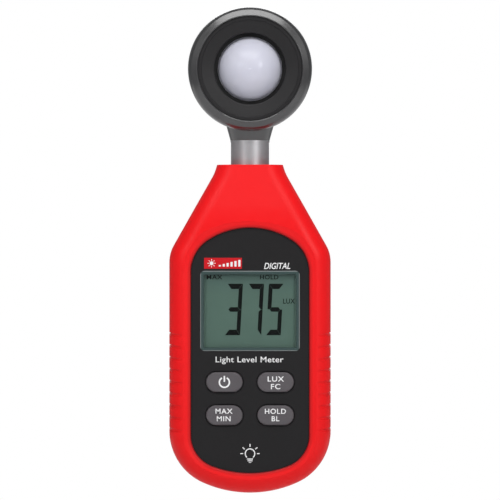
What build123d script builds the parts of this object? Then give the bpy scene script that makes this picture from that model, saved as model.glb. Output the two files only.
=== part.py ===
"""Handheld light meter: a swivelling sensor head on a red two-shell case.

Millimetres. X is across the case, Y is depth with the front facing -Y, and Z is up.
The origin is on the swivel axis, at mid-thickness and at the middle of the grip grooves.
"""

import math
import os

from build123d import *

os.makedirs("parts", exist_ok=True)

# Case
case_half_width = 25.9
case_half_depth = 14.0
case_top = 68.9
case_bottom = -36.4
bottom_radius = 37.1
side_end = -16.5
shoulder_z = 40.5
collar_half_width = 11.4
collar_z = 66.2
neck_half_width = 10.6
neck_half_depth = 9.8
slope_start = 51.0
front_edge = 6.0
rear_edge = 5.0
wall = 2.0
lip_outer = 1.1
lip_height = 1.5
groove_depth = 0.42
groove_pitch = 3.8
groove_count = 9
groove_reach = 4.0
groove_edge_loss = 0.3

# Front panel and window
panel_half_width = 18.9
panel_top = 48.6
panel_bottom = -29.9
panel_arch_radius = 24.5
panel_foot_radius = 34.2
panel_arch_start = 34.4
panel_foot_start = -17.8
panel_flange = 1.6
panel_front = -12.5
panel_rear = -11.3
bevel_run = 3.2
bevel_end = -13.2
opening_lip = 0.6
window_size = (31.9, 25.7)
window_z = 22.0
window_front = -12.6
window_rear = -11.8
view_size = (30.4, 24.2)

# Display stack, front to rear
lcd_size = (33.4, 28.0)
lcd_front = -10.95
lcd_rear = -8.75
backlight_rear = -7.15

# Keys
key_columns = 8.2
key_rows = (-0.8, -11.4)
key_size = (11.7, 6.4)
key_slot = (12.3, 7.0)
key_flange = (13.4, 8.1)
key_front = -13.3
key_rear = -11.0
key_flange_rear = -10.3
key_stem_radius = 2.0
key_stem_end = -6.35
mat_front = -9.2
mat_rear = -8.4

# Circuit board
pcb_front = -5.0
pcb_rear = -3.4
pcb_half_width = 17.5
pcb_bottom = -26.0
pcb_top = 46.0
upper_post = (14.5, 41.5)
lower_post = (15.0, -20.0)

# Battery bay and door
cell_radius = 5.25
cell_length = 44.5
cell_pitch = 10.9
bay_floor = 1.4
bay_half_width = 16.5
bay_bottom = -24.5
bay_top = 25.5
bay_wall = 1.2
deck_front = 10.8
deck_rear = 12.3
door_front = 12.4
door_half_width = 19.0
door_top = 27.85
door_gap = 0.1
tongue_half_width = 19.9
tongue_y = (12.7, 13.3)
plate_thickness = 0.4

# Case screws
upper_screw = (14.0, 50.0)
lower_screw = (9.0, -29.3)
screw_radius = 1.25
screw_head_radius = 2.4
boss_radius = 3.0

# Swivel
tube_radius = 6.15
tube_bore = 4.2
tube_bottom = 51.5
tube_top = 76.8
spigot_radius = 5.2
spigot_top = 86.0
spigot_bore = 3.4
running_gap = 0.05
bush_radius = 7.7
bush_bottom = 57.4
bush_top = 66.9
bush_flange_radius = 9.0
bush_flange_top = 59.0
collar_bottom = 54.1
collar_top = 57.1
stop_radius = 8.0
tooth_radius = 9.4
tooth_half_angle = 10.0
lug_half_angle = 33.0
lug_half_span = 16 * math.tan(math.radians(lug_half_angle))
clip_bottom = 53.0
ring_groove = (62.0, 63.6)

# Sensor head
head_z = 99.7
head_radius = 19.92
head_front = -11.5
head_rear = 11.0
head_seam_radius = 19.6
recess_radius = 16.8
recess_floor = -6.4
ledge_rear = -5.0
ledge_bore = 12.4
dome_radius = 10.6
dome_wall = 1.2
dome_front = -13.9
well_radius = 11.5
holder_radius = 12.3
sensor_board = (-3.0, -1.8)
head_screw_circle = 14.6
head_screw_angles = (90, 210, 330)
lead_radius = 1.4

head_axis = Axis((0, 0, head_z), (0, 1, 0))


def facing(y):
    """Plane at depth y that faces the front, so extruding from it runs towards -Y."""
    return Plane.XZ.offset(-y)


def side_pair(point):
    """The same place on the left and on the right."""
    return [(-point[0], point[1]), (point[0], point[1])]


def rounded_end(half_width, side_end, tip, tip_radius):
    """Close one side of an outline with a corner arc that runs tangent into a wider tip arc."""
    way = 1 if tip > side_end else -1
    centre = tip - way * tip_radius
    rise = way * (side_end - centre)
    corner = (tip_radius**2 - half_width**2 - rise**2) / (2 * (tip_radius - half_width))
    corner_x = half_width - corner
    turn = math.atan2(rise, corner_x)
    rest = (turn + math.pi / 2) / 2

    def on_arc(x, z, radius, angle):
        return (x + radius * math.cos(angle), z + way * radius * math.sin(angle))

    join = on_arc(corner_x, side_end, corner, turn)
    ThreePointArc((half_width, side_end), on_arc(corner_x, side_end, corner, turn / 2), join)
    ThreePointArc(join, on_arc(0, centre, tip_radius, rest), (0, tip))


def case_outline(inset):
    """Front view of the case, drawn in by the inset."""
    with BuildSketch() as outline:
        with BuildLine():
            Line((0, case_top), (neck_half_width, case_top))
            FilletPolyline(
                (neck_half_width, case_top),
                (collar_half_width, collar_z),
                (case_half_width, shoulder_z),
                (case_half_width, side_end),
                radius=[14, 11],
            )
            rounded_end(case_half_width, side_end, case_bottom, bottom_radius)
            mirror(about=Plane.YZ)
        make_face()
        if inset:
            offset(amount=-inset, kind=Kind.INTERSECTION)
    return outline.sketch


def case_profile(inset):
    """Side view of the case, which thins towards the neck; it runs past both ends."""
    past = 6.0
    slope = (case_half_depth - neck_half_depth) / (case_top - slope_start)
    top = (neck_half_depth - past * slope, case_top + past)
    with BuildSketch() as profile:
        with BuildLine():
            Line((0, top[1]), top)
            FilletPolyline(
                top,
                (case_half_depth, slope_start),
                (case_half_depth, case_bottom - past),
                radius=40,
            )
            Line((case_half_depth, case_bottom - past), (0, case_bottom - past))
            mirror(about=Plane.YZ)
        make_face()
        if inset:
            offset(amount=-inset, kind=Kind.INTERSECTION)
    return profile.sketch


def rounded_case(outline_inset, profile_inset, edge_loss):
    """The case with its outline and side profile drawn in, and its rounded edges tightened."""
    top_edges = case_top - outline_inset - 0.1
    with BuildPart() as solid:
        with BuildSketch(Plane.XZ):
            add(case_outline(outline_inset))
        extrude(amount=case_half_depth + 1, both=True)
        with BuildSketch(Plane.YZ):
            add(case_profile(profile_inset))
        extrude(amount=case_half_width + 5, both=True, mode=Mode.INTERSECT)
        rims = solid.edges().filter_by(lambda edge: edge.center().Z < top_edges)
        fillet(rims.filter_by(lambda edge: edge.center().Y < -1), front_edge - edge_loss)
        fillet(rims.filter_by(lambda edge: edge.center().Y > 1), rear_edge - edge_loss)
    return solid.part


def case_solid(inset):
    """The whole case drawn in evenly by the inset."""
    return rounded_case(inset, inset, inset)


def panel_outline(grow):
    """Outline of the front panel, drawn out by the given amount."""
    with BuildSketch() as outline:
        with BuildLine():
            rounded_end(panel_half_width, panel_arch_start, panel_top, panel_arch_radius)
            Line((panel_half_width, panel_arch_start), (panel_half_width, panel_foot_start))
            rounded_end(panel_half_width, panel_foot_start, panel_bottom, panel_foot_radius)
            mirror(about=Plane.YZ)
        make_face()
        if grow:
            offset(amount=grow)
    return outline.sketch


def slab(sketch, front, rear):
    """A flat piece between two depths."""
    return extrude(facing(rear) * sketch, amount=rear - front)


outer = case_solid(0)
cavity = case_solid(wall)
skin = case_solid(1.0)

with BuildSketch() as grip_line:
    with BuildLine():
        ThreePointArc((-13.6, -0.8), (0, 0.5), (13.6, -0.8))
        Line((13.6, -0.8), (13.6, -1.7))
        ThreePointArc((13.6, -1.7), (0, -0.5), (-13.6, -1.7))
        Line((-13.6, -1.7), (-13.6, -0.8))
    make_face()

with BuildPart() as grip_bands:
    with BuildSketch(Plane.YZ.offset(case_half_width - groove_reach)):
        with GridLocations(1, groove_pitch, 1, groove_count):
            add(grip_line.sketch)
    extrude(amount=groove_reach + 1)
    mirror(about=Plane.YZ)
groove_core = rounded_case(groove_depth, 0, groove_edge_loss)
grip_grooves = (outer & grip_bands.part) - groove_core
hollow = outer - cavity - grip_grooves

# ---------------------------------------------------------------- case shells

with BuildPart() as front_bosses:
    with BuildSketch(facing(0)):
        with Locations(*side_pair(upper_screw), *side_pair(lower_screw)):
            Circle(boss_radius)
        with Locations(*side_pair((lower_screw[0], lower_screw[1] - 3.5))):
            Rectangle(2.4, 7.0)
        with Locations((0, (52.6 + 51.0) / 2)):
            Rectangle(36, 1.6)
    extrude(amount=case_half_depth)
    with BuildSketch(Plane.XY.offset(bush_flange_top)):
        Circle(9.6)
    extrude(amount=case_top - 1.5 - bush_flange_top)
    add(skin, mode=Mode.INTERSECT)
    split(bisect_by=Plane.XZ, keep=Keep.TOP)

with BuildPart() as rear_bosses:
    with BuildSketch(facing(case_half_depth)):
        with Locations(*side_pair(upper_screw), *side_pair(lower_screw)):
            Circle(boss_radius + 0.4)
        with Locations((0, (52.6 + 51.0) / 2)):
            Rectangle(36, 1.6)
    extrude(amount=case_half_depth)
    with BuildSketch(Plane.XY.offset(bush_flange_top)):
        Circle(9.6)
    extrude(amount=case_top - 1.5 - bush_flange_top)
    with BuildSketch(Plane.XY.offset(collar_bottom + 0.1)):
        with BuildLine():
            Polyline((0, 0), (-lug_half_span, 16), (lug_half_span, 16), close=True)
        make_face()
        Circle(stop_radius + 0.3, mode=Mode.SUBTRACT)
    extrude(amount=collar_top - collar_bottom - 0.1)
    add(skin, mode=Mode.INTERSECT)
    split(bisect_by=Plane.XZ, keep=Keep.BOTTOM)

with BuildPart() as swivel_space:
    with BuildSketch(Plane.XY.offset(50)):
        Circle(tube_radius + running_gap)
    extrude(amount=4)
    with BuildSketch(Plane.XY.offset(bush_flange_top - 1)):
        Circle(bush_radius)
    extrude(amount=bush_top - bush_flange_top + 1)
    with BuildSketch(Plane.XY.offset(bush_top - 1)):
        Circle(tube_radius + 0.3)
    extrude(amount=4)

with BuildPart() as panel_opening:
    with BuildSketch(facing(-case_half_depth - 0.05)):
        add(panel_outline(bevel_run))
    with BuildSketch(facing(bevel_end)):
        add(panel_outline(0))
    loft()
    add(slab(panel_outline(0), -case_half_depth - 0.05, panel_front))
    add(slab(panel_outline(panel_flange + 0.1), panel_front, panel_rear + 0.4))

with BuildPart() as front_shell:
    add(hollow)
    split(bisect_by=Plane.XZ, keep=Keep.TOP)
    add(front_bosses.part)
    with BuildSketch(facing(0)):
        add(case_outline(lip_outer))
        add(case_outline(wall), mode=Mode.SUBTRACT)
    extrude(amount=-lip_height)
    with BuildSketch(facing(lip_height)):
        with Locations((0, case_top)):
            Rectangle(2 * tube_radius + 6, 8)
    extrude(amount=lip_height, mode=Mode.SUBTRACT)
    add(panel_opening.part, mode=Mode.SUBTRACT)
    add(swivel_space.part, mode=Mode.SUBTRACT)
    with BuildSketch(facing(lip_height)):
        with Locations(*side_pair(upper_screw), *side_pair(lower_screw)):
            Circle(screw_radius + 0.02)
    extrude(amount=lip_height + 8, mode=Mode.SUBTRACT)
    near_lip = front_shell.edges().filter_by(lambda edge: abs(edge.bounding_box().min.Y - bevel_end) < 0.02)
    lip_edges = near_lip.filter_by(lambda edge: abs(edge.bounding_box().max.Y - bevel_end) < 0.02)
    fillet(lip_edges, opening_lip)

front_shell.part.label = "front_shell"
export_step(front_shell.part, "parts/front_shell.step")

with BuildPart() as door_slot:
    with BuildSketch(facing(case_half_depth + 1)):
        with Locations((0, (door_top + 0.3 + case_bottom - 2) / 2)):
            Rectangle(2 * (door_half_width + door_gap), door_top + 0.3 - case_bottom + 2)
    extrude(amount=case_half_depth + 1 - deck_rear)
    with BuildSketch(facing(tongue_y[1] + door_gap)):
        with Locations((0, (door_top + 0.3 + case_bottom - 2) / 2)):
            Rectangle(2 * (tongue_half_width + door_gap), door_top + 0.3 - case_bottom + 2)
    extrude(amount=tongue_y[1] - tongue_y[0] + 2 * door_gap)

with BuildPart() as bay_space:
    with BuildSketch(facing(case_half_depth + 1)):
        with Locations((0, (bay_top + bay_bottom) / 2)):
            Rectangle(2 * bay_half_width, bay_top - bay_bottom)
    extrude(amount=case_half_depth + 1 - bay_floor)
    with BuildSketch(facing(bay_floor)):
        with Locations((-13.2, bay_top - 0.3), (13.2, bay_bottom + 0.3)):
            Rectangle(2.3, 0.6)
    extrude(amount=bay_wall)

with BuildPart() as rear_shell:
    add(hollow)
    split(bisect_by=Plane.XZ, keep=Keep.BOTTOM)
    add(rear_bosses.part)
    with BuildSketch(facing(case_half_depth)):
        with Locations((0, (30.4 + case_bottom) / 2)):
            Rectangle(43.2, 30.4 - case_bottom)
    extrude(amount=case_half_depth - deck_front)
    with BuildSketch(facing(deck_front)):
        with Locations((0, (bay_top + bay_bottom) / 2)):
            Rectangle(2 * (bay_half_width + bay_wall), bay_top - bay_bottom + 2 * bay_wall)
    extrude(amount=deck_front - bay_floor + bay_wall)
    add(outer, mode=Mode.INTERSECT)
    add(door_slot.part, mode=Mode.SUBTRACT)
    add(bay_space.part, mode=Mode.SUBTRACT)
    with BuildSketch(facing(0)):
        add(case_outline(lip_outer - 0.1))
        add(case_outline(wall), mode=Mode.SUBTRACT)
    extrude(amount=-lip_height - 0.1, mode=Mode.SUBTRACT)
    add(swivel_space.part, mode=Mode.SUBTRACT)
    with BuildSketch(facing(case_half_depth + 1)):
        with Locations(*side_pair(upper_screw), *side_pair(lower_screw)):
            Circle(1.5)
    extrude(amount=case_half_depth + 1, mode=Mode.SUBTRACT)
    with BuildSketch(facing(case_half_depth + 1)):
        with Locations(*side_pair(upper_screw)):
            Circle(screw_head_radius + 0.3)
    extrude(amount=case_half_depth + 1 - 11.6, mode=Mode.SUBTRACT)
    with BuildSketch(facing(deck_rear + 1)):
        with Locations(*side_pair(lower_screw)):
            Circle(screw_head_radius + 0.3)
    extrude(amount=deck_rear + 1 - 10.2, mode=Mode.SUBTRACT)

rear_shell.part.label = "rear_shell"
export_step(rear_shell.part, "parts/rear_shell.step")

# ---------------------------------------------------------------- fasteners


def screw_solid(radius, head_radius, head_height, length):
    """Pan-head screw with a cross recess: the head stands on the local origin, the shank runs to -Z."""
    with BuildPart() as screw:
        Cylinder(radius, length, align=(Align.CENTER, Align.CENTER, Align.MAX))
        Cylinder(head_radius, head_height, align=(Align.CENTER, Align.CENTER, Align.MIN))
        fillet(screw.edges().sort_by(Axis.Z)[-1], 0.4 * head_height)
        chamfer(screw.edges().sort_by(Axis.Z)[0], 0.4 * radius)
        with Locations((0, 0, head_height)):
            Box(1.2 * head_radius, 0.26 * head_radius, 1.2 * head_height, mode=Mode.SUBTRACT)
            Box(0.26 * head_radius, 1.2 * head_radius, 1.2 * head_height, mode=Mode.SUBTRACT)
    return screw.part


def rear_seats(points, y):
    """Places at depth y whose local Z points out of the back."""
    return [Plane((x, y, z), x_dir=(1, 0, 0), z_dir=(0, 1, 0)) for x, z in points]


upper_case_screw = screw_solid(screw_radius, screw_head_radius, 1.6, 19.1)
lower_case_screw = screw_solid(screw_radius, screw_head_radius, 1.6, 17.7)
board_screw = screw_solid(0.9, 1.8, 1.0, 6.4)
head_screw = screw_solid(0.9, 1.8, 1.2, 10.0)

with BuildPart() as case_screws:
    with Locations(*rear_seats(side_pair(upper_screw), 11.6)):
        add(upper_case_screw)
    with Locations(*rear_seats(side_pair(lower_screw), 10.2)):
        add(lower_case_screw)

case_screws.part.label = "case_screws"
export_step(case_screws.part, "parts/case_screws.step")

with BuildPart() as pcb_screws:
    with Locations(*rear_seats(side_pair(upper_post) + side_pair(lower_post), pcb_rear)):
        add(board_screw)

pcb_screws.part.label = "pcb_screws"
export_step(pcb_screws.part, "parts/pcb_screws.step")

# ---------------------------------------------------------------- front panel and display

key_middle = (key_rows[0] + key_rows[1]) / 2
key_rise = key_rows[0] - key_rows[1]

with BuildPart() as front_panel:
    add(slab(panel_outline(panel_flange), panel_front, panel_rear))
    with BuildSketch(facing(pcb_front)):
        with Locations(*side_pair(upper_post), *side_pair(lower_post)):
            Circle(2.0)
    extrude(amount=pcb_front - panel_rear)
    with BuildSketch(facing(window_rear)):
        with Locations((0, window_z)):
            RectangleRounded(window_size[0] + 0.1, window_size[1] + 0.1, 1.5)
    extrude(amount=window_rear - panel_front + 0.1, mode=Mode.SUBTRACT)
    with BuildSketch(facing(panel_rear)):
        with Locations((0, window_z)):
            RectangleRounded(view_size[0], view_size[1], 1.0)
        with Locations((0, key_middle)):
            with GridLocations(2 * key_columns, key_rise, 2, 2):
                SlotOverall(key_slot[0], key_slot[1])
    extrude(amount=panel_rear - panel_front + 0.1, mode=Mode.SUBTRACT)
    with BuildSketch(facing(pcb_front)):
        with Locations(*side_pair(upper_post), *side_pair(lower_post)):
            Circle(0.92)
    extrude(amount=5.5, mode=Mode.SUBTRACT)

front_panel.part.label = "front_panel"
export_step(front_panel.part, "parts/front_panel.step")

with BuildPart() as display_window:
    with BuildSketch(facing(window_rear)):
        with Locations((0, window_z)):
            RectangleRounded(window_size[0], window_size[1], 1.45)
    extrude(amount=window_rear - window_front)
    chamfer(display_window.faces().sort_by(Axis.Y)[0].edges(), 0.15)

display_window.part.label = "display_window"
export_step(display_window.part, "parts/display_window.step")

with BuildPart() as lcd_polarizer:
    with BuildSketch(facing(lcd_front)):
        with Locations((0, window_z)):
            Rectangle(lcd_size[0] - 1.0, lcd_size[1] - 1.0)
    extrude(amount=0.25)

lcd_polarizer.part.label = "lcd_polarizer"
export_step(lcd_polarizer.part, "parts/lcd_polarizer.step")

with BuildPart() as lcd_panel:
    with BuildSketch(facing(lcd_rear)):
        with Locations((0, window_z)):
            Rectangle(*lcd_size)
    extrude(amount=lcd_rear - lcd_front)

lcd_panel.part.label = "lcd_panel"
export_step(lcd_panel.part, "parts/lcd_panel.step")

with BuildPart() as backlight_panel:
    with BuildSketch(facing(backlight_rear)):
        with Locations((0, window_z + 1.6)):
            Rectangle(lcd_size[0], lcd_size[1] - 3.2)
    extrude(amount=backlight_rear - lcd_rear)

backlight_panel.part.label = "backlight_panel"
export_step(backlight_panel.part, "parts/backlight_panel.step")

with BuildPart() as zebra_connector:
    with BuildSketch(facing(pcb_front)):
        with Locations((0, window_z - 12.3)):
            Rectangle(30.0, 2.2)
    extrude(amount=pcb_front - lcd_rear)

zebra_connector.part.label = "zebra_connector"
export_step(zebra_connector.part, "parts/zebra_connector.step")

with BuildPart() as lcd_holder:
    with BuildSketch(facing(pcb_front)):
        with Locations((0, window_z)):
            RectangleRounded(36.0, 31.0, 1.0)
    extrude(amount=pcb_front - panel_rear)
    with BuildSketch(facing(backlight_rear)):
        with Locations((0, window_z)):
            Rectangle(lcd_size[0] + 0.1, lcd_size[1] + 0.1)
    extrude(amount=backlight_rear - panel_rear, mode=Mode.SUBTRACT)
    with BuildSketch(facing(pcb_front)):
        with Locations((0, window_z - 1.0)):
            Rectangle(30.2, 25.0)
    extrude(amount=pcb_front - backlight_rear, mode=Mode.SUBTRACT)

lcd_holder.part.label = "lcd_holder"
export_step(lcd_holder.part, "parts/lcd_holder.step")

# ---------------------------------------------------------------- keys

with BuildPart() as key:
    with BuildSketch(facing(key_rear)):
        SlotOverall(*key_size)
    extrude(amount=key_rear - key_front)
    fillet(key.faces().sort_by(Axis.Y)[0].edges(), 0.55)
    with BuildSketch(facing(key_flange_rear)):
        SlotOverall(*key_flange)
    extrude(amount=key_flange_rear - key_rear)
    with BuildSketch(facing(key_stem_end)):
        Circle(key_stem_radius)
    extrude(amount=key_stem_end - key_flange_rear)

key_places = {
    "key_power": (-key_columns, key_rows[0]),
    "key_units": (key_columns, key_rows[0]),
    "key_max_min": (-key_columns, key_rows[1]),
    "key_hold": (key_columns, key_rows[1]),
}
for name, (x, z) in key_places.items():
    placed_key = Pos(x, 0, z) * key.part
    placed_key.label = name
    export_step(placed_key, f"parts/{name}.step")

with BuildPart() as keypad_mat:
    with BuildSketch(facing(pcb_front)):
        with Locations((0, key_middle)):
            RectangleRounded(29.4, 20.4, 2.0)
    extrude(amount=pcb_front - mat_front)
    with BuildSketch(facing(pcb_front)):
        with Locations((0, key_middle)):
            RectangleRounded(27.0, 18.0, 1.2)
    extrude(amount=pcb_front - mat_rear, mode=Mode.SUBTRACT)
    with BuildSketch(facing(mat_rear)):
        with Locations((0, key_middle)):
            with GridLocations(2 * key_columns, key_rise, 2, 2):
                Circle(key_stem_radius + 0.35)
    extrude(amount=mat_rear - mat_front, mode=Mode.SUBTRACT)

keypad_mat.part.label = "keypad_mat"
export_step(keypad_mat.part, "parts/keypad_mat.step")

with BuildPart() as snap_domes:
    with BuildSketch(facing(pcb_front)):
        with Locations((0, key_middle)):
            with GridLocations(2 * key_columns, key_rise, 2, 2):
                Circle(2.8)
    extrude(amount=0.35)
    fillet(snap_domes.edges().group_by(Axis.Y)[0], 0.3)

snap_domes.part.label = "snap_domes"
export_step(snap_domes.part, "parts/snap_domes.step")

# ---------------------------------------------------------------- circuit board

with BuildPart() as main_pcb:
    with BuildSketch(facing(pcb_rear)):
        with Locations((0, (pcb_top + pcb_bottom) / 2)):
            RectangleRounded(2 * pcb_half_width, pcb_top - pcb_bottom, 2.0)
        with Locations(*side_pair(upper_post), *side_pair(lower_post)):
            Circle(1.1, mode=Mode.SUBTRACT)
    extrude(amount=pcb_rear - pcb_front)

main_pcb.part.label = "main_pcb"
export_step(main_pcb.part, "parts/main_pcb.step")


def chip(width, length, height, pitch, leads, four_sided):
    """Chip on its leads; the board is the local XY plane."""
    standoff = 0.1
    with BuildPart() as package:
        with Locations((0, 0, standoff)):
            Box(width, length, height, align=(Align.CENTER, Align.CENTER, Align.MIN))
        chamfer(package.edges().group_by(Axis.Z)[-1], 0.15)
        with GridLocations(width + 1.0, pitch, 2, leads):
            Box(1.2, 0.3, 0.5 * height, align=(Align.CENTER, Align.CENTER, Align.MIN))
        if four_sided:
            with GridLocations(pitch, length + 1.0, leads, 2):
                Box(0.3, 1.2, 0.5 * height, align=(Align.CENTER, Align.CENTER, Align.MIN))
    return package.part


microcontroller = rear_seats([(-5.0, 12.0)], pcb_rear)[0] * chip(10.0, 10.0, 1.4, 0.8, 11, True)
microcontroller.label = "microcontroller"
export_step(microcontroller, "parts/microcontroller.step")

op_amp = rear_seats([(9.0, 33.0)], pcb_rear)[0] * chip(4.0, 5.0, 1.5, 1.27, 4, False)
op_amp.label = "op_amp"
export_step(op_amp, "parts/op_amp.step")

with BuildPart() as crystal_can:
    with BuildSketch(Plane((8.0, pcb_rear, 4.0), x_dir=(1, 0, 0), z_dir=(0, 1, 0))):
        SlotOverall(8.0, 3.4)
    extrude(amount=2.6)
    fillet(crystal_can.edges().group_by(Axis.Y)[-1], 0.5)

crystal_can.part.label = "crystal_can"
export_step(crystal_can.part, "parts/crystal_can.step")

with BuildPart() as capacitors:
    for place in rear_seats([(-11.0, 33.0), (-4.5, 33.0)], pcb_rear):
        with BuildSketch(place):
            Circle(2.5)
        extrude(amount=5.2)
    fillet(capacitors.edges().group_by(Axis.Y)[-1], 0.4)

capacitors.part.label = "capacitors"
export_step(capacitors.part, "parts/capacitors.step")

with BuildPart() as trim_potentiometer:
    with BuildSketch(Plane((0.5, pcb_rear, 31.0), x_dir=(1, 0, 0), z_dir=(0, 1, 0))):
        Rectangle(4.4, 4.4)
    extrude(amount=2.2)
    with BuildSketch(Plane((0.5, pcb_rear + 2.2, 31.0), x_dir=(1, 0, 0), z_dir=(0, 1, 0))):
        Circle(1.6)
        Rectangle(0.5, 2.4, mode=Mode.SUBTRACT)
    extrude(amount=0.5)

trim_potentiometer.part.label = "trim_potentiometer"
export_step(trim_potentiometer.part, "parts/trim_potentiometer.step")

with BuildPart() as sensor_header:
    with BuildSketch(facing(1.4)):
        with Locations((0, 39.7)):
            Rectangle(8.4, 3.4)
    extrude(amount=1.4 - pcb_rear)
    chamfer(sensor_header.edges().group_by(Axis.Y)[-1], 0.3)

sensor_header.part.label = "sensor_header"
export_step(sensor_header.part, "parts/sensor_header.step")

with BuildPart() as sensor_plug:
    with BuildSketch(facing(1.4)):
        with Locations((0, 43.3)):
            Rectangle(7.6, 3.8)
    extrude(amount=1.4 + 2.9)
    chamfer(sensor_plug.edges().group_by(Axis.Z)[-1], 0.3)

sensor_plug.part.label = "sensor_plug"
export_step(sensor_plug.part, "parts/sensor_plug.step")

with BuildPart() as sensor_lead_lower:
    with BuildSketch(Plane.XY.offset(45.2)):
        Circle(lead_radius)
    extrude(amount=4.0)

sensor_lead_lower.part.label = "sensor_lead_lower"
export_step(sensor_lead_lower.part, "parts/sensor_lead_lower.step")

# ---------------------------------------------------------------- batteries

contact_length = bay_top - bay_bottom - 2 * plate_thickness - cell_length
cell_y = bay_floor + cell_radius

with BuildPart() as cell:
    with BuildSketch(Plane.XY.offset(-cell_length / 2)):
        Circle(cell_radius)
    extrude(amount=cell_length - 0.8)
    fillet(cell.edges(), 0.4)
    with BuildSketch(Plane.XY.offset(cell_length / 2 - 0.8)):
        Circle(1.9)
    extrude(amount=0.8)

cell_middle = bay_top - plate_thickness - cell_length / 2
low_cell_middle = bay_bottom + plate_thickness + cell_length / 2
cell_poses = {
    "battery_1": Pos(-cell_pitch, cell_y, cell_middle),
    "battery_2": Pos(0, cell_y, low_cell_middle) * Rot(X=180),
    "battery_3": Pos(cell_pitch, cell_y, cell_middle),
}
for name, pose in cell_poses.items():
    placed_cell = pose * cell.part
    placed_cell.label = name
    export_step(placed_cell, f"parts/{name}.step")

with BuildPart() as coil:
    with BuildLine() as coil_path:
        Helix(pitch=1.0, height=contact_length - 0.6, radius=2.3)
    with BuildSketch(Plane(coil_path.line @ 0, z_dir=coil_path.line % 0)):
        Circle(0.3)
    sweep()

with BuildPart() as battery_springs:
    low_spring = bay_bottom + plate_thickness + 0.3
    high_spring = bay_top - plate_thickness - 0.3
    with Locations((-cell_pitch, cell_y, low_spring), (cell_pitch, cell_y, low_spring)):
        add(coil.part)
    with Locations(Pos(0, cell_y, high_spring) * Rot(X=180)):
        add(coil.part)

battery_springs.part.label = "battery_springs"
export_step(battery_springs.part, "parts/battery_springs.step")


def contact_plate(low_x, high_x, low_z, tab_x=None):
    """Flat spring-steel plate at one end of the bay, with a tab down to the circuit board if asked."""
    with BuildPart() as plate:
        with BuildSketch(Plane.XY.offset(low_z)):
            with Locations(((low_x + high_x) / 2, 6.0)):
                RectangleRounded(high_x - low_x, 8.4, 1.0)
            if tab_x is not None:
                with Locations((tab_x, (pcb_rear + 3.0) / 2)):
                    Rectangle(2.0, 3.0 - pcb_rear)
        extrude(amount=plate_thickness)
    return plate.part


upper_plate_z = bay_top - plate_thickness
contact_plates = {
    "battery_terminal_plus": contact_plate(-16.2, -5.7, upper_plate_z, -13.2),
    "battery_link_upper": contact_plate(-5.2, 16.2, upper_plate_z),
    "battery_link_lower": contact_plate(-16.2, 5.2, bay_bottom),
    "battery_terminal_minus": contact_plate(5.7, 16.2, bay_bottom, 13.2),
}
for name, plate in contact_plates.items():
    plate.label = name
    export_step(plate, f"parts/{name}.step")

with BuildPart() as battery_door:
    with BuildSketch(facing(case_half_depth + 1)):
        with Locations((0, (door_top + case_bottom - 1) / 2)):
            Rectangle(2 * door_half_width, door_top - case_bottom + 1)
    extrude(amount=case_half_depth + 1 - door_front)
    with BuildSketch(facing(tongue_y[1])):
        with Locations((0, -0.5)):
            Rectangle(2 * tongue_half_width, 54.0)
    extrude(amount=tongue_y[1] - tongue_y[0])
    add(outer, mode=Mode.INTERSECT)
    with BuildSketch(facing(case_half_depth)):
        with Locations((0, 19.0)):
            with GridLocations(1, 1.8, 1, 5):
                SlotOverall(15.0, 0.9)
        with Locations((0, 12.0)):
            Triangle(a=5.0, b=4.0, c=4.0, rotation=180)
    extrude(amount=0.4, mode=Mode.SUBTRACT)

battery_door.part.label = "battery_door"
export_step(battery_door.part, "parts/battery_door.step")

# ---------------------------------------------------------------- swivel

with BuildPart() as swivel_bush:
    with BuildSketch(Plane.XY.offset(bush_bottom)):
        Circle(bush_flange_radius)
    extrude(amount=bush_flange_top - bush_bottom)
    with BuildSketch(Plane.XY.offset(bush_flange_top)):
        Circle(bush_radius)
    extrude(amount=bush_top - bush_flange_top)
    with BuildSketch(Plane.XY.offset(bush_bottom)):
        Circle(tube_radius + running_gap)
    extrude(amount=bush_top - bush_bottom, mode=Mode.SUBTRACT)

swivel_bush.part.label = "swivel_bush"
export_step(swivel_bush.part, "parts/swivel_bush.step")

with BuildPart() as swivel_tube:
    with BuildSketch(Plane.XZ):
        with BuildLine():
            Polyline(
                (tube_bore, tube_bottom),
                (tube_radius, tube_bottom),
                (tube_radius, clip_bottom),
                (5.7, clip_bottom),
                (5.7, clip_bottom + 0.9),
                (tube_radius, clip_bottom + 0.9),
                (tube_radius, ring_groove[0]),
                (5.5, ring_groove[0]),
                (5.5, ring_groove[1]),
                (tube_radius, ring_groove[1]),
                (tube_radius, tube_top - 0.6),
                (tube_radius + 0.15, tube_top - 0.6),
                (tube_radius + 0.15, tube_top),
                (spigot_radius, tube_top),
                (spigot_radius, spigot_top),
                (spigot_bore, spigot_top),
                (spigot_bore, tube_top - 2),
                (tube_bore, tube_top - 2),
                close=True,
            )
        make_face()
    revolve(axis=Axis.Z)

swivel_tube.part.label = "swivel_tube"
export_step(swivel_tube.part, "parts/swivel_tube.step")

with BuildPart() as stop_collar:
    with BuildSketch(Plane.XY.offset(collar_bottom)):
        Circle(tooth_radius)
        with BuildLine():
            Polyline(
                (0, 0),
                (-16 * math.tan(math.radians(tooth_half_angle)), -16),
                (16 * math.tan(math.radians(tooth_half_angle)), -16),
                close=True,
            )
        make_face(mode=Mode.INTERSECT)
        Circle(stop_radius)
        Circle(tube_radius, mode=Mode.SUBTRACT)
    extrude(amount=collar_top - collar_bottom)

stop_collar.part.label = "stop_collar"
export_step(stop_collar.part, "parts/stop_collar.step")

with BuildPart() as retaining_clip:
    with BuildSketch(Plane.XY.offset(clip_bottom)):
        Circle(7.6)
        Circle(5.7, mode=Mode.SUBTRACT)
        with Locations((0, 6.5)):
            Rectangle(7.0, 8.0, mode=Mode.SUBTRACT)
    extrude(amount=0.9)

retaining_clip.part.label = "retaining_clip"
export_step(retaining_clip.part, "parts/retaining_clip.step")

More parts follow.
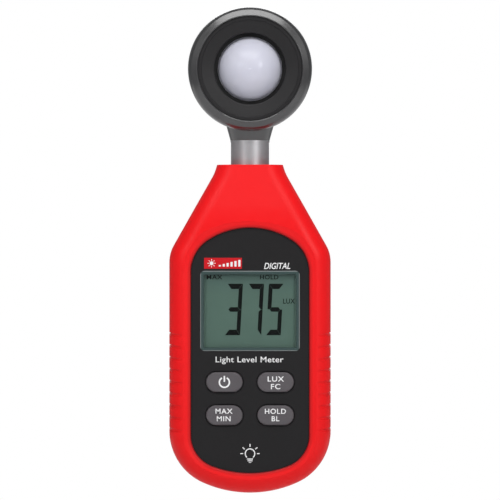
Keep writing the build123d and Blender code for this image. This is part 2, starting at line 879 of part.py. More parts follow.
with BuildPart() as friction_ring:
    with BuildSketch(Plane.XY.offset(ring_groove[0])):
        Circle(tube_radius + running_gap - 0.01)
        Circle(5.5, mode=Mode.SUBTRACT)
    extrude(amount=ring_groove[1] - ring_groove[0])

friction_ring.part.label = "friction_ring"
export_step(friction_ring.part, "parts/friction_ring.step")

with BuildPart() as sensor_lead_upper:
    with BuildSketch(Plane.XY.offset(49.5)):
        Circle(lead_radius)
    extrude(amount=90.0 - 49.5)

sensor_lead_upper.part.label = "sensor_lead_upper"
export_step(sensor_lead_upper.part, "parts/sensor_lead_upper.step")

# ---------------------------------------------------------------- sensor head

with BuildPart() as neck:
    with BuildSketch(Plane.XZ):
        with BuildLine():
            Polyline((0, tube_top), (6.3, tube_top), (7.5, 81.1), (8.0, 82.3), (0, 82.3), close=True)
        make_face()
    revolve(axis=Axis.Z)

with BuildPart() as head_blank:
    with BuildSketch(Plane.XY.offset(head_z)):
        with BuildLine():
            Polyline((0, head_rear), (0, recess_floor), (recess_radius, recess_floor))
            Line((recess_radius, recess_floor), (recess_radius, head_front + 0.2))
            Line((recess_radius, head_front + 0.2), (recess_radius + 0.3, head_front))
            Line((recess_radius + 0.3, head_front), (18.9, head_front + 0.9))
            ThreePointArc((18.9, head_front + 0.9), (19.55, head_front + 1.9), (head_radius, head_front + 3.3))
            Polyline((head_radius, head_front + 3.3), (head_radius, -3.0), (head_seam_radius, 0), (18.2, 5.5))
            ThreePointArc((18.2, 5.5), (16.3, 9.1), (11.8, head_rear))
            Line((11.8, head_rear), (0, head_rear))
        make_face()
    revolve(axis=head_axis)
    add(neck.part)

with BuildPart() as head_hollow:
    with BuildSketch(Plane.XY.offset(head_z)):
        with BuildLine():
            Polyline((0, recess_floor), (ledge_bore, recess_floor), (ledge_bore, ledge_rear))
            Polyline((ledge_bore, ledge_rear), (17.4, ledge_rear), (17.4, 0), (16.2, 5.0), (11.8, 9.0), (0, 9.0))
            Line((0, 9.0), (0, recess_floor))
        make_face()
    revolve(axis=head_axis)

head_screw_places = [
    (head_screw_circle * math.cos(math.radians(a)), head_z + head_screw_circle * math.sin(math.radians(a)))
    for a in head_screw_angles
]
spigot_hole = Pos(0, 0, tube_top - 1) * Cylinder(
    spigot_radius, spigot_top + 3 - tube_top, align=(Align.CENTER, Align.CENTER, Align.MIN)
)

with BuildPart() as head_front_shell:
    add(head_blank.part)
    add(head_hollow.part, mode=Mode.SUBTRACT)
    split(bisect_by=Plane.XZ, keep=Keep.TOP)
    with BuildSketch(facing(1.0)):
        with Locations((0, head_z)):
            Circle(18.3)
            Circle(17.4, mode=Mode.SUBTRACT)
    extrude(amount=1.0)
    with BuildSketch(facing(0)):
        with Locations(*head_screw_places):
            Circle(2.2)
    extrude(amount=-ledge_rear)
    with BuildSketch(facing(0)):
        with Locations(*head_screw_places):
            Circle(0.92)
    extrude(amount=4.5, mode=Mode.SUBTRACT)
    add(spigot_hole, mode=Mode.SUBTRACT)

head_front_shell.part.label = "head_front_shell"
export_step(head_front_shell.part, "parts/head_front_shell.step")

with BuildPart() as head_rear_shell:
    add(head_blank.part)
    add(head_hollow.part, mode=Mode.SUBTRACT)
    split(bisect_by=Plane.XZ, keep=Keep.BOTTOM)
    with BuildSketch(facing(head_rear - 1)):
        with Locations(*head_screw_places):
            Circle(2.7)
        with Locations((0, head_z)):
            Circle(10.8)
            Circle(9.4, mode=Mode.SUBTRACT)
    extrude(amount=head_rear - 1)
    add(head_blank.part, mode=Mode.INTERSECT)
    with BuildSketch(facing(0)):
        with Locations((0, head_z)):
            Circle(10.8)
            Circle(9.4, mode=Mode.SUBTRACT)
    extrude(amount=-sensor_board[1])
    with BuildSketch(facing(9.0)):
        with Locations((0, head_z - 10)):
            Rectangle(6.4, 8.0)
    extrude(amount=9.0 - sensor_board[1], mode=Mode.SUBTRACT)
    with BuildSketch(facing(1.1)):
        with Locations((0, head_z)):
            Circle(18.4)
            Circle(17.0, mode=Mode.SUBTRACT)
    extrude(amount=1.1, mode=Mode.SUBTRACT)
    with BuildSketch(facing(head_rear)):
        with Locations(*head_screw_places):
            Circle(1.1)
    extrude(amount=head_rear, mode=Mode.SUBTRACT)
    with BuildSketch(facing(head_rear)):
        with Locations(*head_screw_places):
            Circle(2.1)
    extrude(amount=head_rear - 6.0, mode=Mode.SUBTRACT)
    add(spigot_hole, mode=Mode.SUBTRACT)

head_rear_shell.part.label = "head_rear_shell"
export_step(head_rear_shell.part, "parts/head_rear_shell.step")

with BuildPart() as head_screws:
    with Locations(*rear_seats(head_screw_places, 6.0)):
        add(head_screw)

head_screws.part.label = "head_screws"
export_step(head_screws.part, "parts/head_screws.step")

with BuildPart() as head_trim_ring:
    with BuildSketch(Plane.XY.offset(head_z)):
        with BuildLine():
            Polyline(
                (well_radius, recess_floor),
                (recess_radius - 0.05, recess_floor),
                (recess_radius - 0.05, -10.9),
                (15.7, -10.9),
                (15.5, -10.6),
                (well_radius + 0.3, -9.6),
                (well_radius, -9.4),
                close=True,
            )
        make_face()
    revolve(axis=head_axis)

head_trim_ring.part.label = "head_trim_ring"
export_step(head_trim_ring.part, "parts/head_trim_ring.step")

dome_centre = dome_front + dome_radius
flange_front = -6.1
dome_foot = math.sqrt(dome_radius**2 - (dome_centre - flange_front) ** 2)
inner_foot = math.sqrt((dome_radius - dome_wall) ** 2 - (dome_centre + 5.1) ** 2)
dome_slant = math.radians(40)

with BuildPart() as diffuser_dome:
    with BuildSketch(Plane.XY.offset(head_z)):
        with BuildLine():
            Line((0, dome_front + dome_wall), (0, dome_front))
            ThreePointArc(
                (0, dome_front),
                (dome_radius * math.sin(dome_slant), dome_centre - dome_radius * math.cos(dome_slant)),
                (dome_foot, flange_front),
            )
            Polyline((dome_foot, flange_front), (holder_radius, flange_front), (holder_radius, -5.1), (inner_foot, -5.1))
            ThreePointArc(
                (inner_foot, -5.1),
                (
                    (dome_radius - dome_wall) * math.sin(dome_slant),
                    dome_centre - (dome_radius - dome_wall) * math.cos(dome_slant),
                ),
                (0, dome_front + dome_wall),
            )
        make_face()
    revolve(axis=head_axis)

diffuser_dome.part.label = "diffuser_dome"
export_step(diffuser_dome.part, "parts/diffuser_dome.step")

with BuildPart() as dome_seal:
    with BuildSketch(facing(flange_front)):
        with Locations((0, head_z)):
            Circle(holder_radius)
            Circle(dome_foot + 0.1, mode=Mode.SUBTRACT)
    extrude(amount=flange_front - recess_floor)

dome_seal.part.label = "dome_seal"
export_step(dome_seal.part, "parts/dome_seal.step")

with BuildPart() as filter_holder:
    with BuildSketch(facing(sensor_board[0])):
        with Locations((0, head_z)):
            Circle(holder_radius)
    extrude(amount=sensor_board[0] + 5.1)
    with BuildSketch(facing(-5.1)):
        with Locations((0, head_z)):
            Circle(7.0)
    extrude(amount=1.5)
    with BuildSketch(facing(-5.2)):
        with Locations((0, head_z)):
            Circle(5.5)
    extrude(amount=1.4, mode=Mode.SUBTRACT)
    with BuildSketch(facing(-4.6)):
        with Locations((0, head_z)):
            Circle(3.9)
    extrude(amount=0.6, mode=Mode.SUBTRACT)
    with BuildSketch(facing(sensor_board[0])):
        with Locations((0, head_z)):
            Rectangle(8.2, 8.2)
    extrude(amount=sensor_board[0] + 4.6, mode=Mode.SUBTRACT)

filter_holder.part.label = "filter_holder"
export_step(filter_holder.part, "parts/filter_holder.step")

with BuildPart() as color_filter:
    with BuildSketch(facing(-5.2)):
        with Locations((0, head_z)):
            Circle(5.5)
    extrude(amount=1.2)

color_filter.part.label = "color_filter"
export_step(color_filter.part, "parts/color_filter.step")

with BuildPart() as photodiode:
    with BuildSketch(facing(sensor_board[0])):
        with Locations((0, head_z)):
            Rectangle(8.0, 8.0)
    extrude(amount=1.5)
    with BuildSketch(facing(sensor_board[0] - 1.5)):
        with Locations((0, head_z)):
            Rectangle(6.0, 6.0)
    extrude(amount=-0.3, mode=Mode.SUBTRACT)

photodiode.part.label = "photodiode"
export_step(photodiode.part, "parts/photodiode.step")

with BuildPart() as sensor_pcb:
    with BuildSketch(facing(sensor_board[1])):
        with Locations((0, head_z)):
            Circle(11.5)
    extrude(amount=sensor_board[1] - sensor_board[0])

sensor_pcb.part.label = "sensor_pcb"
export_step(sensor_pcb.part, "parts/sensor_pcb.step")

with BuildPart() as sensor_terminal:
    with BuildSketch(facing(1.6)):
        with Locations((0, 91.5)):
            Rectangle(5.0, 3.0)
    extrude(amount=1.6 - sensor_board[1])
    chamfer(sensor_terminal.edges().group_by(Axis.Y)[-1], 0.3)

sensor_terminal.part.label = "sensor_terminal"
export_step(sensor_terminal.part, "parts/sensor_terminal.step")
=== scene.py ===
"""Looks, lettering, light and camera for the handheld light meter.

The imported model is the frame. Metres; X is across, the front faces -Y and Z is up.
"""

import math

import bpy
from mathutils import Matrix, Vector


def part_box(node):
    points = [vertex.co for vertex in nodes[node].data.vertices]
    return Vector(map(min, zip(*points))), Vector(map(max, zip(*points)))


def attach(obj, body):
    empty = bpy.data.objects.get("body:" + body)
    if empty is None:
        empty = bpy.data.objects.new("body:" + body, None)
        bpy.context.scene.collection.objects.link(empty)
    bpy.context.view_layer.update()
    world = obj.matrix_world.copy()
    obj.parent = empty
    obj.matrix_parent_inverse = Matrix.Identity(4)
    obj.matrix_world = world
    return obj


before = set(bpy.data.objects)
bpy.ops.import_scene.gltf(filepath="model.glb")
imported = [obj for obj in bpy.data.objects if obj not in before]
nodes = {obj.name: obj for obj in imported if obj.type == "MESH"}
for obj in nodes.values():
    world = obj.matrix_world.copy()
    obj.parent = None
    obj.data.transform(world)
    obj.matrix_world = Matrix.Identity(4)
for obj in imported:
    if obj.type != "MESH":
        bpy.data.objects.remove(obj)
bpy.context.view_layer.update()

MM = 0.001
METER = "meter_body"
WHITE = (1, 1, 1, 1)


# ---------------------------------------------------------------- materials

NOISE_LOW, NOISE_HIGH = 0.3, 0.7  # nearly all of a noise lies between these
SMOOTH_DOT, SHARP_DOT = 0.985, 0.80  # plain against rounded normal, away from an edge and on it


def srgb(red, green, blue):
    """An 8-bit screen colour as the linear colour that a shader takes."""

    def linear(value):
        value /= 255
        return value / 12.92 if value <= 0.04045 else ((value + 0.055) / 1.055) ** 2.4

    return (linear(red), linear(green), linear(blue), 1.0)


def toned(colour, factor):
    """The colour made darker or lighter, and opaque."""
    return tuple(min(1.0, c * factor) for c in colour[:3]) + (1.0,)


class Shader:
    """One node material around a Principled BSDF, with object coordinates in metres."""

    def __init__(self, name, **constants):
        self.material = bpy.data.materials.new(name)
        self.material.use_nodes = True
        self.tree = self.material.node_tree
        self.bsdf = self.tree.nodes["Principled BSDF"]
        self.place = self.node("TexCoord").outputs["Object"]
        for socket, value in constants.items():
            self.bsdf.inputs[socket.replace("_", " ")].default_value = value

    def node(self, kind, inputs=None, **settings):
        made = self.tree.nodes.new("ShaderNode" + kind)
        for key, value in settings.items():
            setattr(made, key, value)
        for key, value in (inputs or {}).items():
            if isinstance(value, bpy.types.NodeSocket):
                self.tree.links.new(value, made.inputs[key])
            else:
                made.inputs[key].default_value = value
        return made

    def axes(self):
        """The X, Y and Z of a point on the surface."""
        return self.node("SeparateXYZ", {0: self.place}).outputs

    def stretched(self, scale):
        return self.node("Mapping", {"Vector": self.place, "Scale": scale}).outputs["Vector"]

    def noise(self, per_metre, detail=3.0, rough=0.55, vector=None):
        inputs = {
            "Vector": vector or self.place,
            "Scale": per_metre,
            "Detail": detail,
            "Roughness": rough,
        }
        return self.node("TexNoise", inputs).outputs["Fac"]

    def remap(self, value, low, high, new_low, new_high):
        inputs = {
            "Value": value,
            "From Min": low,
            "From Max": high,
            "To Min": new_low,
            "To Max": new_high,
        }
        return self.node("MapRange", inputs).outputs["Result"]

    def spread(self, noise, low, high):
        """A noise taken to the range from low to high."""
        return self.remap(noise, NOISE_LOW, NOISE_HIGH, low, high)

    def mix(self, factor, first, second):
        return self.node("Mix", {0: factor, 6: first, 7: second}, data_type="RGBA").outputs[2]

    def blend(self, factor, first, second):
        """Two closures mixed: the first at 0 and the second at 1."""
        return self.node("MixShader", {0: factor, 1: first, 2: second}).outputs[0]

    def math(self, operation, first, second=0.0):
        return self.node("Math", {0: first, 1: second}, operation=operation).outputs[0]

    def dot(self, first, second):
        made = self.node("VectorMath", {0: first, 1: second}, operation="DOT_PRODUCT")
        return made.outputs["Value"]

    def bump(self, height, strength, depth, normal=None):
        inputs = {"Height": height, "Strength": strength, "Distance": depth}
        if normal is not None:
            inputs["Normal"] = normal
        return self.node("Bump", inputs).outputs["Normal"]

    def edge(self, radius):
        """(normal rounded over sharp edges, mask that is 1 on those edges)."""
        soft = self.node("Bevel", {"Radius": radius}, samples=4).outputs["Normal"]
        plain = self.node("NewGeometry").outputs["Normal"]
        return soft, self.remap(self.dot(soft, plain), SMOOTH_DOT, SHARP_DOT, 0.0, 1.0)

    def drive(self, socket, value):
        self.tree.links.new(value, self.bsdf.inputs[socket])

    def show(self, closure):
        """Make this closure the surface, in place of the Principled BSDF alone."""
        output = self.tree.nodes["Material Output"]
        self.tree.links.new(closure, output.inputs["Surface"])


def moulded(
    name, colour, rough=(0.35, 0.5), grain=2600, depth=0.03, edge=0.35, wear=1.25, **constants
):
    """Moulded plastic or rubber: eroded grain, cloudy tone, scuffed edges.

    grain is in cells per metre, depth and edge are in mm, and wear lightens the edges.
    """
    shader = Shader(name, **constants)
    cloud = shader.noise(per_metre=45, detail=4)
    speckle = shader.noise(per_metre=grain, detail=2, rough=0.6)
    scratch = shader.noise(per_metre=700, detail=5, rough=0.7)
    shaded, lit, pitted = toned(colour, 0.95), toned(colour, 1.04), toned(colour, 0.86)
    tone = shader.mix(shader.remap(cloud, 0.35, 0.65, 0, 1), shaded, lit)
    tone = shader.mix(shader.spread(speckle, 0, 0.5), tone, pitted)
    soft, mask = shader.edge(edge * MM)
    rubbed = shader.math("MULTIPLY", mask, shader.remap(scratch, 0.42, 0.6, 0, 0.7))
    shader.drive("Base Color", shader.mix(rubbed, tone, toned(colour, wear)))
    shader.drive("Roughness", shader.spread(scratch, *rough))
    shader.drive("Normal", shader.bump(speckle, 0.6, depth * MM, soft))
    return shader.material


def metal(name, colour, rough=(0.2, 0.34), scale=(40, 40, 4000)):
    """Turned or drawn metal, with fine lines close together where the noise scale is large."""
    shader = Shader(name, Metallic=1.0)
    lines = shader.noise(per_metre=1, detail=3, rough=0.6, vector=shader.stretched(scale))
    stain = shader.noise(per_metre=160, detail=4)
    shader.drive("Base Color", shader.mix(stain, toned(colour, 0.86), toned(colour, 1.08)))
    shader.drive("Roughness", shader.spread(lines, *rough))
    shader.drive("Normal", shader.bump(lines, 0.35, 0.01 * MM))
    return shader.material


OPENING_LOW, OPENING_HIGH = -13 * MM, 24 * MM  # heights of the panel opening's arc centres
# The lip's shade comes in over the first pair of depths and goes out over the second.
LIP_SHADE_FROM, LIP_SHADE_FULL = -13.55 * MM, -13.1 * MM
LIP_SHADE_KEPT, LIP_SHADE_END = -12.4 * MM, -12.3 * MM
FACES_IN, FACES_PAST = -0.2, -0.1  # how far a normal points away from the panel's middle


def case_red():
    """Satin red ABS, with painted shade that darkens it towards the foot and in the lip round the
    front panel.
    """
    shader = Shader("case_red", Specular_IOR_Level=0.22)
    x, y, z = shader.axes()
    # Painted shade: the red is darker towards the foot and lighter towards the top, as if lit from
    # above.
    tone = shader.mix(
        shader.remap(z, -36 * MM, 30 * MM, 0, 1), srgb(230, 12, 16), srgb(238, 16, 22)
    )

    # Painted shade: inward-facing faces just behind the front, round the panel opening, are
    # darkened to stand in for the lip's shadow.
    nearest = shader.math("MAXIMUM", OPENING_LOW, shader.math("MINIMUM", z, OPENING_HIGH))
    above = shader.math("SUBTRACT", z, nearest)
    outward = shader.node("CombineXYZ", {"X": x, "Y": 0.0, "Z": above}).outputs[0]
    outward = shader.node("VectorMath", {0: outward}, operation="NORMALIZE").outputs["Vector"]
    surface = shader.node("TexCoord").outputs["Normal"]
    facing_in = shader.remap(shader.dot(outward, surface), FACES_IN, FACES_PAST, 1, 0)
    behind_front = shader.remap(y, LIP_SHADE_FROM, LIP_SHADE_FULL, 0, 1)
    before_end = shader.remap(y, LIP_SHADE_KEPT, LIP_SHADE_END, 1, 0)
    painted_lip_shade = shader.math("MULTIPLY", facing_in, shader.math("MULTIPLY", behind_front, before_end))

    cloud = shader.noise(per_metre=60, detail=4)
    speckle = shader.noise(per_metre=3200, detail=2, rough=0.6)
    smear = shader.noise(per_metre=500, detail=5, rough=0.7)
    tone = shader.mix(shader.spread(cloud, 0, 0.3), tone, srgb(234, 18, 22))
    soft, mask = shader.edge(0.3 * MM)
    rubbed = shader.math("MULTIPLY", mask, shader.remap(smear, 0.45, 0.62, 0, 0.35))
    tone = shader.mix(rubbed, tone, srgb(242, 70, 70))
    # The painted lip shade takes the red down to a dark red next to the panel.
    shader.drive("Base Color", shader.mix(painted_lip_shade, tone, srgb(146, 13, 17)))
    shader.drive("Roughness", shader.spread(smear, 0.36, 0.46))
    shader.drive("Normal", shader.bump(speckle, 0.4, 0.012 * MM, soft))
    return shader.material


# How far in from the pane's edge the painted highlight on its rim and the band of painted shade
# fade out.
PANE_HIGHLIGHT_RIM = (0.2 * MM, 0.34 * MM)
PANE_SHADE_BAND = (1.05 * MM, 1.2 * MM)
MIRROR_POWER, MIRROR_AHEAD, MIRROR_GRAZING = 5.0, 0.04, 0.9  # how the film's share grows


def clear_window():
    """Clear acrylic pane with a mirror film, a painted highlight on its rim and a grey band of
    painted shade inside it.
    """
    shader = Shader("clear_window", Roughness=0.2, IOR=1.49, Specular_IOR_Level=0.25)
    low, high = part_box("display_window")
    middle, half = (low + high) / 2, (high - low) / 2
    x, _, z = shader.axes()
    gaps = []
    for along, centre, reach in ((x, middle.x, half.x), (z, middle.z, half.z)):
        offset = shader.math("ABSOLUTE", shader.math("SUBTRACT", along, centre))
        gaps.append(shader.math("SUBTRACT", reach, offset))
    inset = shader.math("MINIMUM", *gaps)
    # Painted shade: an opaque grey band along the pane's edge stands in for the recess's shadow
    # and the edge's refraction.
    painted_edge_shade = shader.remap(inset, *PANE_SHADE_BAND, 1, 0)
    # Painted highlight: a light grey line on the outermost rim stands in for its chamfer catching
    # the light.
    painted_rim_highlight = shader.remap(inset, *PANE_HIGHLIGHT_RIM, 1, 0)

    dust = shader.noise(per_metre=1500, detail=3)
    edge_shade_tone = shader.mix(dust, srgb(56, 72, 71), srgb(66, 83, 81))
    shader.drive("Base Color", shader.mix(painted_rim_highlight, edge_shade_tone, srgb(126, 132, 132)))

    haze = shader.spread(shader.noise(per_metre=30, detail=4), 0.03, 0.07)
    film = shader.node("BsdfGlossy", {"Color": (0.4, 0.4, 0.4, 1), "Roughness": haze})
    clear = shader.node("BsdfTransparent", {"Color": (0.97, 0.99, 0.98, 1)})
    facing = shader.node("LayerWeight", {"Blend": 0.5}).outputs["Facing"]
    grazing = shader.math("POWER", facing, MIRROR_POWER)
    mirror = shader.remap(grazing, 0, 1, MIRROR_AHEAD, MIRROR_GRAZING)
    pane = shader.blend(mirror, clear.outputs[0], film.outputs[0])
    shader.show(shader.blend(painted_edge_shade, pane, shader.bsdf.outputs[0]))
    return shader.material


# Depth below the LCD's top edge over which its painted shade fades in.
LCD_TOP_SHADE_DEPTH = 9 * MM


def lcd_face():
    """Grey-green liquid-crystal face with painted shade towards its top edge, and a fine cell
    grain.
    """
    shader = Shader("lcd_face", Specular_IOR_Level=0.3)
    _, _, z = shader.axes()
    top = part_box("lcd_panel")[1].z
    painted_top_shade = shader.remap(z, top - LCD_TOP_SHADE_DEPTH, top, 0, 1)
    # Painted shade: the face darkens towards its top edge, standing in for the shadow of the
    # recess above it.
    tone = shader.mix(painted_top_shade, srgb(89, 112, 103), srgb(81, 102, 99))
    cloud = shader.noise(per_metre=120, detail=3)
    tone = shader.mix(shader.spread(cloud, 0, 0.25), tone, srgb(85, 108, 98))
    shader.drive("Base Color", tone)
    shader.drive("Roughness", shader.spread(shader.noise(per_metre=5000, detail=1), 0.35, 0.5))
    cells = shader.noise(per_metre=9000, detail=1)
    shader.drive("Normal", shader.bump(cells, 0.3, 0.004 * MM))
    return shader.material


def diffuser_white():
    """Opal plastic with a faint lilac tint, slightly translucent."""
    shader = Shader(
        "diffuser_white",
        Subsurface_Weight=0.35,
        Subsurface_Radius=(0.9, 0.9, 1.0),
        Subsurface_Scale=1.2 * MM,
        Specular_IOR_Level=0.3,
    )
    cloud = shader.noise(per_metre=150, detail=4)
    speckle = shader.noise(per_metre=5000, detail=2)
    shader.drive("Base Color", shader.mix(cloud, srgb(202, 202, 215), srgb(209, 209, 220)))
    shader.drive("Roughness", shader.spread(speckle, 0.2, 0.28))
    shader.drive("Normal", shader.bump(speckle, 0.3, 0.003 * MM))
    return shader.material


def circuit_board():
    """Green solder mask over copper tracks."""
    shader = Shader("circuit_board", Specular_IOR_Level=0.5, Coat_Weight=0.3)
    pattern = {
        "Vector": shader.place,
        "Scale": 260.0,
        "Mortar Size": 0.012,
        "Color1": srgb(10, 82, 40),
        "Color2": srgb(14, 96, 48),
        "Mortar": srgb(60, 140, 80),
    }
    tracks = shader.node("TexBrick", pattern)
    shader.drive("Base Color", tracks.outputs["Color"])
    shader.drive("Roughness", shader.spread(shader.noise(per_metre=800), 0.25, 0.45))
    shader.drive("Normal", shader.bump(tracks.outputs["Fac"], 0.4, 0.03 * MM))
    return shader.material


JACKET_BAND = (11.8 * MM, 12.2 * MM)  # heights between which the wrap turns copper


def cell_jacket():
    """Printed battery jacket: a dark wrap with a copper-coloured band at its upper end."""
    shader = Shader("cell_jacket", Metallic=0.55, Coat_Weight=0.6)
    _, _, z = shader.axes()
    band = shader.remap(z, *JACKET_BAND, 0, 1)
    cloud = shader.noise(per_metre=200, detail=4)
    dark = shader.mix(cloud, srgb(22, 24, 30), srgb(30, 33, 40))
    shader.drive("Base Color", shader.mix(band, dark, srgb(190, 120, 60)))
    shader.drive("Roughness", shader.spread(shader.noise(per_metre=2000, detail=3), 0.22, 0.38))
    wrinkle = shader.noise(per_metre=600, detail=3)
    shader.drive("Normal", shader.bump(wrinkle, 0.3, 0.02 * MM))
    return shader.material


def tinted_glass(name, colour):
    """Polished coloured glass, a little uneven in tint."""
    shader = Shader(name, Transmission_Weight=0.6, IOR=1.5)
    tint = shader.mix(shader.noise(per_metre=200), toned(colour, 0.9), toned(colour, 1.1))
    shader.drive("Base Color", tint)
    shader.drive("Roughness", shader.spread(shader.noise(per_metre=1500), 0.04, 0.12))
    return shader.material


panel_black = moulded(
    "panel_black", srgb(33, 32, 33), (0.5, 0.62), grain=3800, depth=0.015, edge=0.25, wear=1.6,
    Specular_IOR_Level=0.16,
)
key_grey = moulded(
    "key_grey", srgb(89, 85, 88), (0.5, 0.66), grain=3600, depth=0.03, edge=0.25, wear=1.15,
    Specular_IOR_Level=0.25,
)
head_black = moulded(
    "head_black", srgb(36, 35, 36), (0.3, 0.36), grain=2200, depth=0.0015, edge=0.3, wear=1.3,
    Specular_IOR_Level=1.0, Coat_Weight=0.6, Coat_Roughness=0.14,
)
trim_black = moulded(
    "trim_black", srgb(40, 39, 40), (0.4, 0.5), grain=3400, depth=0.004, edge=0.2, wear=1.9,
    Specular_IOR_Level=0.2,
)
inner_black = moulded("inner_black", srgb(30, 30, 31), (0.45, 0.6))
soft_rubber = moulded("soft_rubber", srgb(26, 26, 27), (0.7, 0.85), grain=1800, depth=0.05)
bush_cream = moulded("bush_cream", srgb(206, 200, 184), (0.35, 0.5), wear=1.02)
back_white = moulded("back_white", srgb(226, 226, 220), (0.3, 0.45), wear=1.0)
chip_black = moulded("chip_black", srgb(24, 24, 26), (0.5, 0.65), grain=4500)

INK = {"rough": (0.5, 0.6), "grain": 5200, "edge": 0.02, "wear": 1.0}
ink_white = moulded("ink_white", srgb(236, 236, 236), depth=0.004, **INK)
ink_red = moulded("ink_red", srgb(200, 20, 30), depth=0.004, Specular_IOR_Level=0.2, **INK)
ink_lcd = moulded("ink_lcd", srgb(5, 8, 8), depth=0.002, Specular_IOR_Level=0.04, **INK)

tube_steel = metal("tube_steel", srgb(196, 195, 197), (0.42, 0.52))
plain_steel = metal("plain_steel", srgb(176, 176, 180), (0.25, 0.4), scale=(900, 900, 900))
spring_steel = metal("spring_steel", srgb(200, 196, 184), scale=(1500, 1500, 1500),
                     rough=(0.2, 0.35))
photo_cell = moulded("photo_cell", srgb(30, 32, 52), (0.1, 0.2), grain=1500, depth=0.005)

looks = {
    case_red(): ["front_shell", "rear_shell", "battery_door"],
    panel_black: ["front_panel"],
    key_grey: ["key_power", "key_units", "key_max_min", "key_hold"],
    clear_window(): ["display_window"],
    lcd_face(): ["lcd_panel", "lcd_polarizer"],
    back_white: ["backlight_panel"],
    inner_black: [
        "lcd_holder", "sensor_header", "sensor_plug", "sensor_terminal", "filter_holder",
    ],
    soft_rubber: [
        "zebra_connector", "keypad_mat", "dome_seal", "friction_ring", "sensor_lead_upper",
        "sensor_lead_lower",
    ],
    circuit_board(): ["main_pcb", "sensor_pcb"],
    chip_black: ["microcontroller", "op_amp"],
    bush_cream: ["swivel_bush", "trim_potentiometer"],
    plain_steel: [
        "crystal_can", "capacitors", "snap_domes", "case_screws", "pcb_screws", "head_screws",
        "retaining_clip", "stop_collar",
    ],
    spring_steel: [
        "battery_springs", "battery_link_upper", "battery_link_lower", "battery_terminal_plus",
        "battery_terminal_minus",
    ],
    cell_jacket(): ["battery_1", "battery_2", "battery_3"],
    tube_steel: ["swivel_tube"],
    head_black: ["head_front_shell", "head_rear_shell"],
    trim_black: ["head_trim_ring"],
    diffuser_white(): ["diffuser_dome"],
    tinted_glass("filter_green", srgb(90, 150, 120)): ["color_filter"],
    photo_cell: ["photodiode"],
}
for material, names in looks.items():
    for name in names:
        nodes[name].data.materials.clear()
        nodes[name].data.materials.append(material)


# ---------------------------------------------------------------- prints, all in mm

PRINT_THICKNESS = 0.025
PRINT_SUNK = 0.005  # how far a print's back lies inside the face that carries it
LETTER_HALF_DEPTH = 0.5
LETTER_LINE = 1.05
LETTER_CURVE_STEPS = 5
ARC_STEPS = 40
DISC_STEPS = 32


def add_piece(name, mesh, material, body):
    piece = bpy.data.objects.new(name, mesh)
    bpy.context.scene.collection.objects.link(piece)
    mesh.materials.append(material)
    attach(piece, body)
    return piece


def lettering(name, text, box, face, material, body=METER, weight=0.0, shear=0.0, spacing=1.0):
    """Raised print that fills box (low x, low z, high x, high z) on the face at that depth."""
    curve = bpy.data.curves.new(name, "FONT")
    curve.body = text
    curve.align_x = "CENTER"
    curve.offset = weight
    curve.shear = shear
    curve.space_character = spacing
    curve.space_line = LETTER_LINE
    curve.extrude = LETTER_HALF_DEPTH
    curve.resolution_u = LETTER_CURVE_STEPS
    holder = bpy.data.objects.new(name + "_outline", curve)
    mesh = bpy.data.meshes.new_from_object(holder)
    bpy.data.objects.remove(holder)
    low = Vector(map(min, zip(*[v.co for v in mesh.vertices])))
    high = Vector(map(max, zip(*[v.co for v in mesh.vertices])))
    for v in mesh.vertices:
        across = (v.co.x - low.x) / (high.x - low.x)
        up = (v.co.y - low.y) / (high.y - low.y)
        v.co = Vector((
            box[0] + across * (box[2] - box[0]),
            face + PRINT_SUNK - (v.co.z + LETTER_HALF_DEPTH) * PRINT_THICKNESS,
            box[1] + up * (box[3] - box[1]),
        )) * MM
    return add_piece(name, mesh, material, body)


def flat_print(name, outlines, face, material, body=METER):
    """Raised print from closed outlines of (x, z) points."""
    front, back = face - PRINT_THICKNESS + PRINT_SUNK, face + PRINT_SUNK
    points, faces = [], []
    for outline in outlines:
        start, count = len(points), len(outline)
        sides = zip(outline, outline[1:] + outline[:1])
        area = sum(a[0] * b[1] - b[0] * a[1] for a, b in sides)
        ring = outline if area > 0 else outline[::-1]
        points += [(x, front, z) for x, z in ring]
        points += [(x, back, z) for x, z in ring]
        faces.append(tuple(range(start, start + count)))
        faces.append(tuple(range(start + 2 * count - 1, start + count - 1, -1)))
        for i in range(count):
            j = (i + 1) % count
            faces.append((start + i, start + count + i, start + count + j, start + j))
    mesh = bpy.data.meshes.new(name)
    mesh.from_pydata([Vector(p) * MM for p in points], [], faces)
    mesh.update()
    return add_piece(name, mesh, material, body)


def arc_band(x, z, inner, outer, start, end):
    """Outline of part of a ring, angles in degrees."""
    angles = [math.radians(start + (end - start) * i / ARC_STEPS) for i in range(ARC_STEPS + 1)]
    out = [(x + outer * math.cos(a), z + outer * math.sin(a)) for a in angles]
    back = [(x + inner * math.cos(a), z + inner * math.sin(a)) for a in reversed(angles)]
    return out + back


def disc(x, z, radius):
    angles = [2 * math.pi / DISC_STEPS * i for i in range(DISC_STEPS)]
    return [(x + radius * math.cos(a), z + radius * math.sin(a)) for a in angles]


def bar(x0, z0, x1, z1):
    return [(x0, z0), (x1, z0), (x1, z1), (x0, z1)]


def spoke(x, z, start, end, width, angle):
    """Thin bar along a radius, angle in degrees."""
    c, s = math.cos(math.radians(angle)), math.sin(math.radians(angle))
    corners = [(start, -width / 2), (end, -width / 2), (end, width / 2), (start, width / 2)]
    return [(x + r * c - t * s, z + r * s + t * c) for r, t in corners]


def face_of(node):
    """Depth of a node's front."""
    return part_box(node)[0].y / MM


# The badge is a sun beside a rising row of level bars.
panel_face = face_of("front_panel")
flat_print("badge_field", [bar(-14.7, 35.5, -2.6, 39.0)], panel_face, ink_red)

